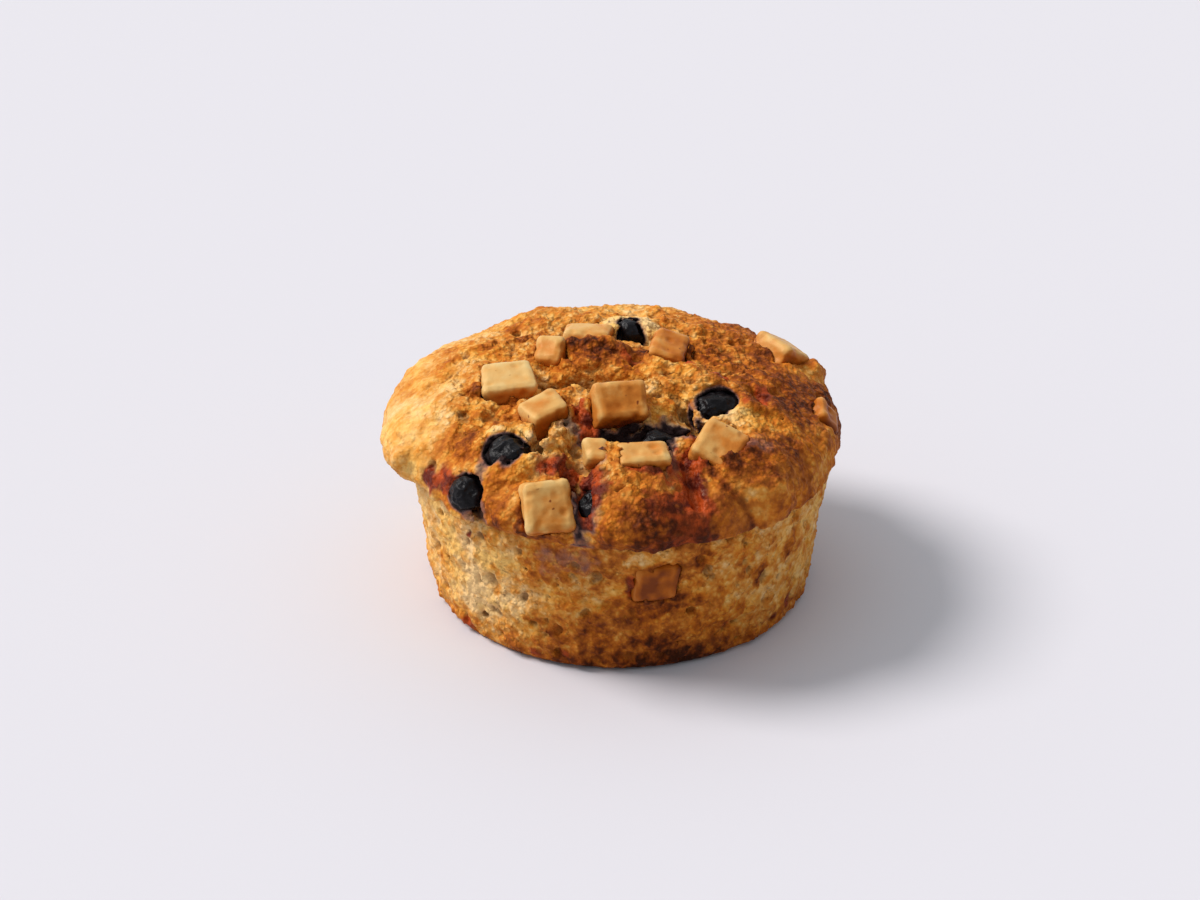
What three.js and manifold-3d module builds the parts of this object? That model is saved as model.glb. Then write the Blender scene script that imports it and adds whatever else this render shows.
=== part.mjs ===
// A low, wide muffin baked in a plain tin without a paper case: pale crumb with a browned cap,
// blueberries and blond chocolate chunks sunk in it.
// Millimetres, +Z up. The origin is the middle of the flat base and the front faces -Y.
// Azimuths are in degrees, counted from +X towards +Y, so the front is at 270.

import * as THREE from "three";
import { RoundedBoxGeometry } from "three/addons/geometries/RoundedBoxGeometry.js";
import { mergeVertices } from "three/addons/utils/BufferGeometryUtils.js";
import Module from "manifold-3d";

// Driving dimensions of the crumb.
const BASE_RADIUS = 34.2; // where the tin's floor met its wall
const BASE_ROUNDING = 1.6;
const WALL_RADIUS = 37.9; // at the top of the tin
const WALL_HEIGHT = 27.3; // underside of the cap's overhang
const CAP_RADIUS = 41.1; // mean, at the cap's widest ring
const CAP_HEIGHT = 29.8; // of that widest ring
const CAP_RISE = 13.4; // from the widest ring to the crown
const CAP_POWER = 1.95; // 2 would be an ellipse
const LIP_TUCK = 1.1; // how far the lip's lower edge draws in
const POCKET_GAP = 0.3; // clearance of a topping in its pocket

// How far the cap hangs over the wall: [azimuth, millimetres]. It spreads to the left and is
// cut back at the front left, where it only just clears the wall.
const OVERHANG = [
  [0, 1.5],
  [60, 2.2],
  [115, 4.2],
  [165, 5.4],
  [190, 5.2],
  [211, 1.2],
  [243, 0.9],
  [272, 1.7],
  [325, 1.6],
  [360, 1.5],
];

// How finely the crumb's outline is divided.
const SEGMENTS = 88;
const CAP_RINGS = 19;
const LIP_RINGS = 3;
const WALL_RINGS = 10;
const ROUNDING_RINGS = 2;
const BASE_RINGS = 1;
const ARC_SAMPLES = 200; // of the cap's curve, before it is spaced evenly

// Swellings of the cap: the middle, the radius and the height of each.
const LOBES = [
  { at: [1.5, -37], radius: 8.5, rise: 2.4 }, // the large lobe at the front
  { at: [-21, -34], radius: 4.5, rise: 1.7 }, // between the lowest berry and the front chunk
  { at: [25, -25], radius: 9, rise: 1.7 }, // the flap of crust at the front right
  { at: [-33, -10], radius: 9, rise: 1.1 }, // smooth crust on the left
  { at: [-3, 5], radius: 5.5, rise: 1.7 }, // the ridge behind the middle
  { at: [10.5, -3.5], radius: 5, rise: 1.9 }, // pale knob right of the middle
  { at: [-10.5, -21], radius: 4.5, rise: 1.6 }, // pale knob between berry and crevice
  { at: [22.5, -11.5], radius: 5, rise: 1.3 },
  { at: [-25, -7], radius: 5, rise: 1.0 },
  { at: [-27, 12], radius: 8, rise: 0.9 },
  { at: [33, -12], radius: 6, rise: 0.9 },
  { at: [-12, 27], radius: 10, rise: 0.8 },
  { at: [14, 26], radius: 9, rise: 1.0 },
  { at: [32, 14], radius: 7, rise: 0.9 },
];

// Cracks and hollows of the cap: each runs between two points and is as wide and deep as it says.
const FURROWS = [
  { from: [-8, -20.8], to: [5, -20.5], width: 2.7, depth: 6.0 }, // the dark crevice
  { from: [5, -20.5], to: [17, -11.5], width: 2.6, depth: 4.2 },
  { from: [-7, -24], to: [-8, -31], width: 2.3, depth: 2.6 },
  { from: [-6.0, -32.5], to: [-6.8, -39], width: 2.2, depth: 4.2 }, // right of the front chunk
  { from: [9.5, -26], to: [13, -34], width: 2.3, depth: 2.3 }, // the juicy streak
  { from: [15.5, -28.5], to: [25.5, -33], width: 1.6, depth: 1.7 }, // under the flap
  { from: [-12, -3], to: [3, -3.5], width: 2.2, depth: 1.9 }, // below the ridge
  { from: [-14, 1], to: [-14.5, -9], width: 1.8, depth: 1.8 },
  { from: [-24, -29], to: [-16, -30], width: 2.0, depth: 1.6 },
  { from: [-34, 24], to: [-22, 33], width: 2.4, depth: 1.2 },
  { from: [4, 38], to: [17, 35], width: 2.4, depth: 1.6 },
];

// Roughness of the surface as [size of a lump, height of a lump].
const TORN_CRAGS = [
  [5.2, 1.15],
  [2.9, 0.75],
];
const CRUST_CRAGS = [
  [8.0, 0.7],
  [3.6, 0.3],
];
const WALL_CRAGS = [
  [6.0, 0.55],
  [3.2, 0.35],
];
// The torn crumb fills the middle of the cap; the crust round it stayed smooth.
const TORN_MIDDLE = [-2, -7];
const TORN_RADIUS = 25;
const TORN_FADE = 9;

// Chocolate chunks on the cap. at is where one sits in plan, size its two sides and its
// thickness; its face leans from level towards an azimuth, is turned by spin in its own plane,
// and stands proud of the plain cap.
const CHUNKS = [
  { at: [-12.9, -34.9], size: [8.3, 8.9, 4.8], lean: 57, towards: 281, spin: 0, proud: 2.4 },
  { at: [-0.6, -13.9], size: [9.4, 7.0, 5.6], lean: 44, towards: 290, spin: -4, proud: 3.6 },
  { at: [3.7, -27.7], size: [9.2, 5.4, 4.4], lean: 16, towards: 276, spin: 0, proud: 2.0 },
  { at: [-20.0, -3.4], size: [9.4, 8.2, 4.0], lean: 10, towards: 262, spin: 14, proud: 1.7 },
  { at: [-13.4, -14.9], size: [7.6, 6.2, 5.4], lean: 14, towards: 250, spin: 52, proud: 2.2 },
  { at: [-4.3, -26.2], size: [4.4, 4.8, 4.0], lean: 34, towards: 262, spin: 8, proud: 1.2 },
  { at: [17.2, -23.2], size: [8.6, 8.2, 4.0], lean: 30, towards: 300, spin: 40, proud: 1.5 },
  { at: [-12.2, 4.9], size: [5.6, 5.8, 5.0], lean: 30, towards: 236, spin: 20, proud: 2.6 },
  { at: [-5.9, 11.6], size: [8.6, 6.0, 4.0], lean: 6, towards: 80, spin: 4, proud: 2.0 },
  { at: [8.6, 6.8], size: [8.2, 6.6, 4.4], lean: 18, towards: 320, spin: 30, proud: 1.7 },
  { at: [29.4, 15.4], size: [8.6, 8.0, 5.0], lean: 34, towards: 32, spin: 10, proud: 2.2 },
  { at: [37.0, -3.0], size: [5.4, 5.6, 4.0], lean: 58, towards: 352, spin: 12, proud: 0.8 },
];
const CHUNK_ROUNDING = 1.1;
const CHUNK_UNEVENNESS = 0.35; // how far a corner may stray from the true block

// Chunks that show in the side: one baked against the tin at the front, one in the rear wall and
// two under the cap's edge at the rear. Their faces stand proud of the line of the wall.
const SIDE_CHUNKS = [
  { azimuth: 279.6, height: 19.4, size: [8.2, 7.4, 4.4], spin: -2, proud: 0.1 },
  { azimuth: 66, height: 12.0, size: [7.4, 6.8, 4.4], spin: 21, proud: 0.1 },
  { azimuth: 113, height: 28.6, size: [7.6, 5.8, 5.0], spin: 12, proud: 3.9 },
  { azimuth: 48, height: 28.8, size: [6.6, 5.4, 5.0], spin: -18, proud: 3.3 },
];

// Blueberries on the cap: across is the two level diameters and the upright one.
const BERRIES = [
  { at: [-19.6, -22.6], across: [8.4, 8.0, 7.2], turn: 10, proud: 1.7 },
  { at: [-26.6, -26.2], across: [6.2, 6.0, 6.0], turn: 0, proud: 0.9 },
  { at: [17.0, -9.8], across: [6.9, 9.8, 6.8], turn: 30, proud: 1.0 },
  { at: [6.4, -19.4], across: [7.4, 6.8, 6.6], turn: 0, proud: -1.6 },
  { at: [1.7, 16.1], across: [5.9, 5.7, 6.0], turn: 0, proud: 1.7 },
  { at: [-4.6, -33.6], across: [6.2, 6.0, 6.4], turn: 0, proud: -0.9 },
];

// Blueberries under the cap's edge at the rear.
const SIDE_BERRIES = [
  { azimuth: 84, height: 29.2, across: [7.6, 7.4, 7.0], turn: 0, proud: 4.2 },
  { azimuth: 134, height: 28.9, across: [6.8, 6.6, 6.4], turn: 0, proud: 4.0 },
];
const BERRY_DETAIL = 2;
const BERRY_WRINKLE = 0.28;

const COLOURS = {
  crumb: { color: 0xc98a45, roughness: 0.85, metalness: 0 },
  chunk: { color: 0xdda860, roughness: 0.45, metalness: 0 },
  berry: { color: 0x1a1a2b, roughness: 0.35, metalness: 0 },
};

const radians = THREE.MathUtils.degToRad;
const smoothstep = THREE.MathUtils.smoothstep;
const UP = new THREE.Vector3(0, 0, 1);
const WALL_SLOPE = THREE.MathUtils.radToDeg(Math.atan2(WALL_RADIUS - BASE_RADIUS, WALL_HEIGHT));

// A repeatable number from -1 to 1 for a corner of a whole-numbered lattice.
function cornerValue(i, j, k) {
  let h = Math.imul(i, 374761393) ^ Math.imul(j, 668265263) ^ Math.imul(k, 1440662683);
  h = Math.imul(h ^ (h >>> 13), 1274126177);
  h = Math.imul(h ^ (h >>> 16), 2246822519);
  return ((h ^ (h >>> 15)) >>> 0) / 2 ** 31 - 1;
}

// Smooth lumps of the given size, from -1 to 1.
function lumps(point, size) {
  const [x, y, z] = [point.x / size, point.y / size, point.z / size];
  const [i, j, k] = [Math.floor(x), Math.floor(y), Math.floor(z)];
  const [u, v, w] = [x - i, y - j, z - k].map((t) => smoothstep(t, 0, 1));
  let total = 0;
  for (const a of [0, 1])
    for (const b of [0, 1])
      for (const c of [0, 1]) {
        const share = (a ? u : 1 - u) * (b ? v : 1 - v) * (c ? w : 1 - w);
        total += share * cornerValue(i + a, j + b, k + c);
      }
  return total;
}

function crags(point, layers) {
  return layers.reduce((sum, [size, height]) => sum + height * lumps(point, size), 0);
}

// The overhang at an azimuth, eased between the stated ones.
function overhangAt(azimuth) {
  const angle = THREE.MathUtils.euclideanModulo(azimuth, 360);
  const next = OVERHANG.findIndex(([a]) => a > angle);
  const [[a0, v0], [a1, v1]] = [OVERHANG[next - 1], OVERHANG[next]];
  return THREE.MathUtils.lerp(v0, v1, smoothstep(angle, a0, a1));
}

// The cap's radius where a point at this share of the mean radius lies: round near the crown,
// and following the overhang at the edge.
function capReach(azimuth, share) {
  const edge = WALL_RADIUS + overhangAt(azimuth);
  return THREE.MathUtils.lerp(CAP_RADIUS, edge, smoothstep(share, 0.55, 1));
}

// The plain cap's height over a point in plan.
function capHeight(x, y) {
  const distance = Math.hypot(x, y);
  const azimuth = THREE.MathUtils.radToDeg(Math.atan2(y, x));
  const reach = capReach(azimuth, distance / CAP_RADIUS);
  const share = Math.min(distance / reach, 0.995);
  return CAP_HEIGHT + CAP_RISE * (1 - share ** CAP_POWER) ** (1 / CAP_POWER);
}

function seatOn(at) {
  return new THREE.Vector3(at[0], at[1], capHeight(at[0], at[1]));
}

// The cap's half outline from its widest ring up to the crown, spread evenly along its length.
function capOutline() {
  const arc = [];
  for (let i = 0; i <= ARC_SAMPLES; i++) {
    const angle = ((Math.PI / 2) * i) / ARC_SAMPLES;
    const radius = CAP_RADIUS * Math.abs(Math.cos(angle)) ** (2 / CAP_POWER);
    const rise = CAP_RISE * Math.sin(angle) ** (2 / CAP_POWER);
    arc.push(new THREE.Vector2(radius, CAP_HEIGHT + rise));
  }
  arc[ARC_SAMPLES].setX(0);
  return new THREE.SplineCurve(arc);
}

// Half of the crumb's outline, from the middle of the base out, up and in to the crown.
function crumbOutline() {
  const base = new THREE.LineCurve(
    new THREE.Vector2(0, 0),
    new THREE.Vector2(BASE_RADIUS - BASE_ROUNDING, 0),
  );
  const rounding = new THREE.QuadraticBezierCurve(
    new THREE.Vector2(BASE_RADIUS - BASE_ROUNDING, 0),
    new THREE.Vector2(BASE_RADIUS, 0),
    new THREE.Vector2(BASE_RADIUS, BASE_ROUNDING),
  );
  const wall = new THREE.LineCurve(
    new THREE.Vector2(BASE_RADIUS, BASE_ROUNDING),
    new THREE.Vector2(WALL_RADIUS, WALL_HEIGHT),
  );
  const lip = new THREE.QuadraticBezierCurve(
    new THREE.Vector2(CAP_RADIUS - LIP_TUCK, WALL_HEIGHT),
    new THREE.Vector2(CAP_RADIUS, WALL_HEIGHT),
    new THREE.Vector2(CAP_RADIUS, CAP_HEIGHT),
  );
  return [
    ...base.getSpacedPoints(BASE_RINGS),
    ...rounding.getSpacedPoints(ROUNDING_RINGS).slice(1),
    ...wall.getSpacedPoints(WALL_RINGS).slice(1),
    ...lip.getSpacedPoints(LIP_RINGS),
    ...capOutline().getSpacedPoints(CAP_RINGS).slice(1),
  ];
}

function distanceToStretch(x, y, from, to) {
  const stretch = new THREE.Line3(
    new THREE.Vector3(from[0], from[1], 0),
    new THREE.Vector3(to[0], to[1], 0),
  );
  const point = new THREE.Vector3(x, y, 0);
  return stretch.closestPointToPoint(point, true, new THREE.Vector3()).distanceTo(point);
}

// How far the cap's surface stands out of its plain form.
function capRelief(point) {
  const { x, y } = point;
  let height = 0;
  for (const { at, radius, rise } of LOBES) {
    height += rise * Math.exp(-(((x - at[0]) ** 2 + (y - at[1]) ** 2) / radius ** 2));
  }
  for (const { from, to, width, depth } of FURROWS) {
    height -= depth * Math.exp(-((distanceToStretch(x, y, from, to) / width) ** 2));
  }
  const fromMiddle = Math.hypot(x - TORN_MIDDLE[0], y - TORN_MIDDLE[1]);
  const crust = smoothstep(fromMiddle, TORN_RADIUS - TORN_FADE, TORN_RADIUS + TORN_FADE);
  const rough = THREE.MathUtils.lerp(crags(point, TORN_CRAGS), crags(point, CRUST_CRAGS), crust);
  return height + rough;
}

// The plain lathed form, with one vertex for each place.
function plainCrumb() {
  const lathe = new THREE.LatheGeometry(crumbOutline(), SEGMENTS);
  lathe.deleteAttribute("normal");
  lathe.deleteAttribute("uv");
  lathe.rotateX(Math.PI / 2);
  const merged = mergeVertices(lathe, 1e-3);
  merged.computeVertexNormals();
  return merged;
}

// Spreads the cap to its overhang and raises the crags.
function shapedCrumb() {
  const geometry = plainCrumb();
  const { position, normal } = geometry.attributes;
  const point = new THREE.Vector3();
  const outwards = new THREE.Vector3();
  for (let i = 0; i < position.count; i++) {
    point.fromBufferAttribute(position, i);
    outwards.fromBufferAttribute(normal, i);
    const radius = Math.hypot(point.x, point.y);
    const azimuth = THREE.MathUtils.radToDeg(Math.atan2(point.y, point.x));
    const onLip = point.z < CAP_HEIGHT && radius > WALL_RADIUS + 0.01;
    if (onLip) {
      const share = (radius - WALL_RADIUS) / (CAP_RADIUS - WALL_RADIUS);
      const reach = WALL_RADIUS + share * overhangAt(azimuth);
      point.multiply(new THREE.Vector3(reach / radius, reach / radius, 1));
    } else if (point.z >= CAP_HEIGHT) {
      const reach = capReach(azimuth, radius / CAP_RADIUS) / CAP_RADIUS;
      point.multiply(new THREE.Vector3(reach, reach, 1));
    }
    const capShare = smoothstep(point.z, WALL_HEIGHT, CAP_HEIGHT + 1);
    const wallRelief = crags(point, WALL_CRAGS) * smoothstep(point.z, 0, BASE_ROUNDING);
    const relief = THREE.MathUtils.lerp(wallRelief, capRelief(point), capShare);
    point.addScaledVector(outwards, relief);
    position.setXYZ(i, point.x, point.y, Math.max(point.z, 0));
  }
  return geometry;
}

// A block with rounded, slightly wandering corners. seed makes each one its own.
function chunkGeometry([width, depth, thickness], seed, grow = 0) {
  const grown = [width, depth, thickness].map((side) => side + 2 * grow);
  const block = new RoundedBoxGeometry(...grown, 1, CHUNK_ROUNDING);
  block.deleteAttribute("normal");
  block.deleteAttribute("uv");
  const { position } = block.attributes;
  const point = new THREE.Vector3();
  for (let i = 0; i < position.count; i++) {
    point.fromBufferAttribute(position, i);
    const [a, b, c] = [Math.sign(point.x), Math.sign(point.y), Math.sign(point.z)];
    const stray = [0, 1, 2].map((k) => CHUNK_UNEVENNESS * cornerValue(seed + a, 7 * b + k, 5 * c));
    position.setXYZ(i, point.x + stray[0], point.y + stray[1], point.z + 0.5 * stray[2]);
  }
  return mergeVertices(block, 1e-3);
}

// A round berry, a little wrinkled by the oven.
function berryGeometry([across, along, upright], seed, grow = 0) {
  const ball = new THREE.IcosahedronGeometry(1, BERRY_DETAIL);
  ball.deleteAttribute("normal");
  ball.deleteAttribute("uv");
  const { position } = ball.attributes;
  const point = new THREE.Vector3();
  for (let i = 0; i < position.count; i++) {
    point.fromBufferAttribute(position, i);
    const wrinkle = BERRY_WRINKLE * lumps(point.clone().addScalar(10 * seed), 0.55);
    const half = (side) => side / 2 + wrinkle + grow;
    position.setXYZ(i, point.x * half(across), point.y * half(along), point.z * half(upright));
  }
  return mergeVertices(ball, 1e-3);
}

// Turns a level face to lean from level towards an azimuth, and spins it in its own plane.
function leaning(lean, towards, spin) {
  const turn = new THREE.Quaternion().setFromAxisAngle(UP, radians(towards));
  const tip = new THREE.Quaternion().setFromAxisAngle(new THREE.Vector3(0, 1, 0), radians(lean));
  const spun = new THREE.Quaternion().setFromAxisAngle(UP, radians(spin + 90));
  return turn.multiply(tip).multiply(spun);
}

// A topping: its name, its kind, its place, and its geometry at true size and as a pocket.
function topping(kind, number, quaternion, position, shape) {
  return {
    name: `${kind}_${number}`,
    kind,
    matrix: new THREE.Matrix4().compose(position, quaternion, new THREE.Vector3(1, 1, 1)),
    solid: shape(0),
    pocket: shape(POCKET_GAP),
  };
}

// Sinks a piece of the given thickness below its face, which stands proud of the seat.
function sunk(seat, face, proud, thickness) {
  return seat.clone().addScaledVector(face, proud - thickness / 2);
}

// Where a piece sits on the wall, and which way the wall faces there.
function wallSeat(azimuth, height) {
  const [x, y] = [Math.cos(radians(azimuth)), Math.sin(radians(azimuth))];
  const radius = THREE.MathUtils.lerp(BASE_RADIUS, WALL_RADIUS, height / WALL_HEIGHT);
  return { seat: new THREE.Vector3(radius * x, radius * y, height), face: new THREE.Vector3(x, y, 0) };
}

function capChunk({ at, size, lean, towards, spin, proud }, index) {
  const quaternion = leaning(lean, towards, spin);
  const face = UP.clone().applyQuaternion(quaternion);
  const position = sunk(seatOn(at), face, proud, size[2]);
  const shape = (grow) => chunkGeometry(size, index, grow);
  return topping("chunk", index + 1, quaternion, position, shape);
}

function sideChunk({ azimuth, height, size, spin, proud }, index) {
  const { seat, face } = wallSeat(azimuth, height);
  const quaternion = leaning(90 + WALL_SLOPE, azimuth, spin);
  const number = CHUNKS.length + index;
  const shape = (grow) => chunkGeometry(size, number, grow);
  return topping("chunk", number + 1, quaternion, sunk(seat, face, proud, size[2]), shape);
}

function capBerry({ at, across, turn, proud }, index) {
  const quaternion = leaning(0, turn, 0);
  const shape = (grow) => berryGeometry(across, index, grow);
  return topping("berry", index + 1, quaternion, sunk(seatOn(at), UP, proud, across[2]), shape);
}

function sideBerry({ azimuth, height, across, turn, proud }, index) {
  const { seat, face } = wallSeat(azimuth, height);
  const number = BERRIES.length + index;
  const shape = (grow) => berryGeometry(across, number, grow);
  const position = sunk(seat, face, proud, across[0]);
  return topping("berry", number + 1, leaning(0, turn, 0), position, shape);
}

const wasm = await Module();
wasm.setup();

function toManifold(geometry) {
  const vertProperties = new Float32Array(geometry.attributes.position.array);
  const triVerts = new Uint32Array(geometry.index.array);
  return new wasm.Manifold(new wasm.Mesh({ numProp: 3, vertProperties, triVerts }));
}

function fromManifold(solid) {
  const { vertProperties, triVerts } = solid.getMesh();
  const geometry = new THREE.BufferGeometry();
  geometry.setAttribute("position", new THREE.BufferAttribute(vertProperties, 3));
  geometry.setIndex(new THREE.BufferAttribute(triVerts, 1));
  geometry.computeVertexNormals();
  return geometry;
}

// The crumb with a pocket for every topping. What a pocket cuts loose is left out.
function crumbMesh(toppings) {
  let solid = toManifold(shapedCrumb());
  for (const { pocket, matrix } of toppings) {
    solid = solid.subtract(toManifold(pocket.applyMatrix4(matrix)));
  }
  const largest = solid.decompose().sort((a, b) => b.volume() - a.volume())[0];
  const mesh = new THREE.Mesh(fromManifold(largest), new THREE.MeshStandardMaterial(COLOURS.crumb));
  mesh.name = "crumb";
  return mesh;
}

function toppingMesh({ name, kind, matrix, solid }) {
  solid.computeVertexNormals();
  const mesh = new THREE.Mesh(solid, new THREE.MeshStandardMaterial(COLOURS[kind]));
  mesh.name = name;
  mesh.applyMatrix4(matrix);
  return mesh;
}

const toppings = [
  ...CHUNKS.map(capChunk),
  ...SIDE_CHUNKS.map(sideChunk),
  ...BERRIES.map(capBerry),
  ...SIDE_BERRIES.map(sideBerry),
];
const muffin = new THREE.Group();
muffin.add(crumbMesh(toppings), ...toppings.map(toppingMesh));

export default muffin;
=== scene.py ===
"""The looks of a low muffin with blueberries and blond chocolate chunks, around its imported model.

Lengths in this script are millimetres until a mesh is made, which is in metres.
+Z is up and the side that shows at the front faces -Y. A place on the cap is given in plan. A
place on the wall is given as how far it lies along the wall, from the middle of the front
towards the right, and how high.
"""

import itertools
import math

import bmesh
import bpy
import numpy as np
import openvdb
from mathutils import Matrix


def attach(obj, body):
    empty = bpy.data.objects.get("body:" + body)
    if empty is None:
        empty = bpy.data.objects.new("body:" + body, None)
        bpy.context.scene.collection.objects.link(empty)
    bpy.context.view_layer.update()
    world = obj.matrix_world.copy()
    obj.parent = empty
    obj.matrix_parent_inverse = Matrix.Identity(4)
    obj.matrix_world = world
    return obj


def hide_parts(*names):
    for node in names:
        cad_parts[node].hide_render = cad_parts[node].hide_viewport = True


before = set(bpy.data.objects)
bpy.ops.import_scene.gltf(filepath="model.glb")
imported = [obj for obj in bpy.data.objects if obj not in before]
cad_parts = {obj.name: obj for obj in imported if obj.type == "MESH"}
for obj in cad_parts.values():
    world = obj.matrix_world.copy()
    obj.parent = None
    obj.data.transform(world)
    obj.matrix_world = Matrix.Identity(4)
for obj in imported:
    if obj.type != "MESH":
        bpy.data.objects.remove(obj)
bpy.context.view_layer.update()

MM = 0.001

# How finely each kind of piece is formed, as the side of a cell of its distance field.
CRUMB_CELL = 0.5
CHUNK_CELL = 0.24
BERRY_CELL = 0.2

# The crumb's outline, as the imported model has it.
WALL_HEIGHT = 27.3
WALL_RADIUS = 37.9
MEAN_WALL_RADIUS = 36.0
CAP_RADIUS = 41.1

# How far from a solid's surface its distance field is true.
CRUMB_REACH = 4.0
TOPPING_REACH = 2.0

# The relief is worked out for cells this near to the crumb's plain surface.
RELIEF_REACH = 2.2

# The crumb stops this far from each topping.
POCKET_GAP = 0.12

TINY = 1e-9


# Noise

# Odd factors and shifts that stir the bits of a whole number.
CELL_FACTORS = np.array([374761393, 668265263, 1440662683], np.uint32)
SEED_STEP = 7919
SEED_START = 17
FIRST_FACTOR = np.uint32(2654435761)
STIRS = [(np.uint32(13), np.uint32(1274126177)), (np.uint32(16), np.uint32(2246822519))]
LAST_SHIFT = np.uint32(15)
HALF_RANGE = 2**31

# How far the noise's lattice is turned and tipped, in degrees.
LATTICE_TURN = 37
LATTICE_TIP = 29

# How near to its cell's edge a grain may lie, and the bits of a hash that place it.
GRAIN_MARGIN = 0.08
STRAY_SHIFTS = [np.uint32(n) for n in (0, 10, 20)]
STRAY_MASK = np.uint32(1023)


def hashed(cells, seed):
    """A repeatable whole number of 32 bits for each row of whole numbers."""
    i, j, k = (cells.astype(np.uint32) * CELL_FACTORS).T
    h = (i ^ j ^ k ^ np.uint32(seed * SEED_STEP + SEED_START)) * FIRST_FACTOR
    for shift, factor in STIRS:
        h = (h ^ (h >> shift)) * factor
    return h ^ (h >> LAST_SHIFT)


def turned_axes():
    """Three square directions that no wall or base lies along, so that no lattice line shows."""
    a, b = math.radians(LATTICE_TURN), math.radians(LATTICE_TIP)
    about_z = np.array([[math.cos(a), -math.sin(a), 0], [math.sin(a), math.cos(a), 0], [0, 0, 1]])
    about_x = np.array([[1, 0, 0], [0, math.cos(b), -math.sin(b)], [0, math.sin(b), math.cos(b)]])
    return about_z @ about_x


LATTICE = turned_axes()


def eased(t):
    """A share from 0 to 1 that starts and ends gently."""
    return t * t * (3 - 2 * t)


def smoothstep(value, low, high):
    return eased(np.clip((value - low) / (high - low), 0, 1))


def mix(a, b, share):
    return a + (b - a) * share


def lumps(points, size, seed):
    """Smooth noise from -1 to 1 with lumps about size across."""
    spots = points @ LATTICE / size
    cells = np.floor(spots).astype(np.int64)
    t = eased(spots - cells)
    total = np.zeros(len(points))
    for corner in itertools.product((0, 1), repeat=3):
        share = np.prod(np.where(corner, t, 1 - t), axis=1)
        total += share * (hashed(cells + np.array(corner), seed) / HALF_RANGE - 1)
    return total


def wavy(points, layers):
    """The sum of some layers of smooth noise, each given by its height, size and seed."""
    return sum(height * lumps(points, size, seed) for height, size, seed in layers)


def grains(points, size, seed):
    """How near each point is to a scattered grain: 1 at its middle, 0 at size away."""
    spots = points @ LATTICE / size
    cells = np.floor(spots).astype(np.int64)
    nearest = np.full(len(points), np.inf)
    for step in itertools.product((-1, 0, 1), repeat=3):
        cell = cells + np.array(step)
        h = hashed(cell, seed)
        stray = np.stack([(h >> shift) & STRAY_MASK for shift in STRAY_SHIFTS], axis=1) / STRAY_MASK
        middle = cell + mix(GRAIN_MARGIN, 1 - GRAIN_MARGIN, stray)
        nearest = np.minimum(nearest, ((spots - middle) ** 2).sum(axis=1))
    return 1 - np.sqrt(nearest)


# Distance fields


class Grid:
    """A box of cells in millimetres. Fields on it are below zero inside the solid."""

    def __init__(self, low, high, cell):
        self.cell = cell
        self.first = np.floor(np.asarray(low) / cell).astype(int)
        last = np.ceil(np.asarray(high) / cell).astype(int)
        self.shape = tuple(last - self.first + 1)

    def transform(self):
        return openvdb.createLinearTransform(voxelSize=self.cell)

    def points(self, where):
        return (np.stack(where, axis=1) + self.first) * self.cell

    def distance(self, vertices, triangles, reach):
        """The signed distance to a closed mesh, true up to reach."""
        level = openvdb.FloatGrid.createLevelSetFromPolygons(
            vertices.astype(np.float32),
            triangles=triangles.astype(np.uint32),
            transform=self.transform(),
            halfWidth=reach / self.cell,
        )
        field = np.zeros(self.shape, np.float32)
        level.copyToArray(field, ijk=tuple(int(i) for i in self.first))
        return field

    def surface(self, field):
        """The vertices, in millimetres, and the four-sided faces of a field's surface."""
        level = openvdb.FloatGrid(background=float(field.max()))
        level.transform = self.transform()
        level.copyFromArray(field, ijk=tuple(int(i) for i in self.first))
        points, quads = level.convertToQuads()
        return points.astype(np.float64), quads.astype(np.int64)

    def sample(self, field, points):
        """The field's value at each point, from the eight cells round it."""
        spots = points / self.cell - self.first
        low = np.clip(np.floor(spots).astype(int), 0, np.array(self.shape) - 2)
        t = spots - low
        total = np.zeros(len(points))
        for corner in itertools.product((0, 1), repeat=3):
            share = np.prod(np.where(corner, t, 1 - t), axis=1)
            i, j, k = (low + np.array(corner)).T
            total += share * field[i, j, k]
        return total


def box_round(vertices, margin, cell):
    """A grid of cells that goes so far past some vertices."""
    return Grid(vertices.min(axis=0) - margin, vertices.max(axis=0) + margin, cell)


def soft_union(a, b, width):
    """The union of two fields with a fillet about width across."""
    share = np.clip(0.5 + 0.5 * (b - a) / width, 0, 1)
    return b + (a - b) * share - width * share * (1 - share)


def soft_cut(a, b, width):
    """Field a with field b taken out of it, and a rounded edge about width across."""
    return -soft_union(-a, b, width)


def blurred(field, passes):
    """The field, smoothed by so many passes over each cell and its neighbours."""
    for _ in range(passes):
        for axis in range(3):
            ahead = np.roll(field, -1, axis)
            behind = np.roll(field, 1, axis)
            field = (2 * field + ahead + behind) / 4
    return field


# Meshes


def node_mesh(name):
    """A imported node's vertices in millimetres and its triangles."""
    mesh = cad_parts[name].data
    mesh.calc_loop_triangles()
    vertices = np.empty(len(mesh.vertices) * 3)
    mesh.vertices.foreach_get("co", vertices)
    triangles = np.empty(len(mesh.loop_triangles) * 3, np.int32)
    mesh.loop_triangles.foreach_get("vertices", triangles)
    return vertices.reshape(-1, 3) / MM, triangles.reshape(-1, 3)


def nodes_of(kind):
    """The names of the nodes of a kind, in the order of their numbers."""
    names = (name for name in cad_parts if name.startswith(kind))
    return sorted(names, key=lambda name: int(name.removeprefix(kind)))


def largest_part(vertices, faces):
    """The largest connected part of a mesh, without the scraps round it."""
    label = np.arange(len(vertices))
    while True:
        lowest = label[faces].min(axis=1)
        lower = label.copy()
        for corner in faces.T:
            np.minimum.at(lower, corner, lowest)
        lower = lower[lower]
        if np.array_equal(lower, label):
            break
        label = lower
    keep = label == np.bincount(label).argmax()
    renumbered = np.cumsum(keep) - 1
    return vertices[keep], renumbered[faces[keep[faces[:, 0]]]]


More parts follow.
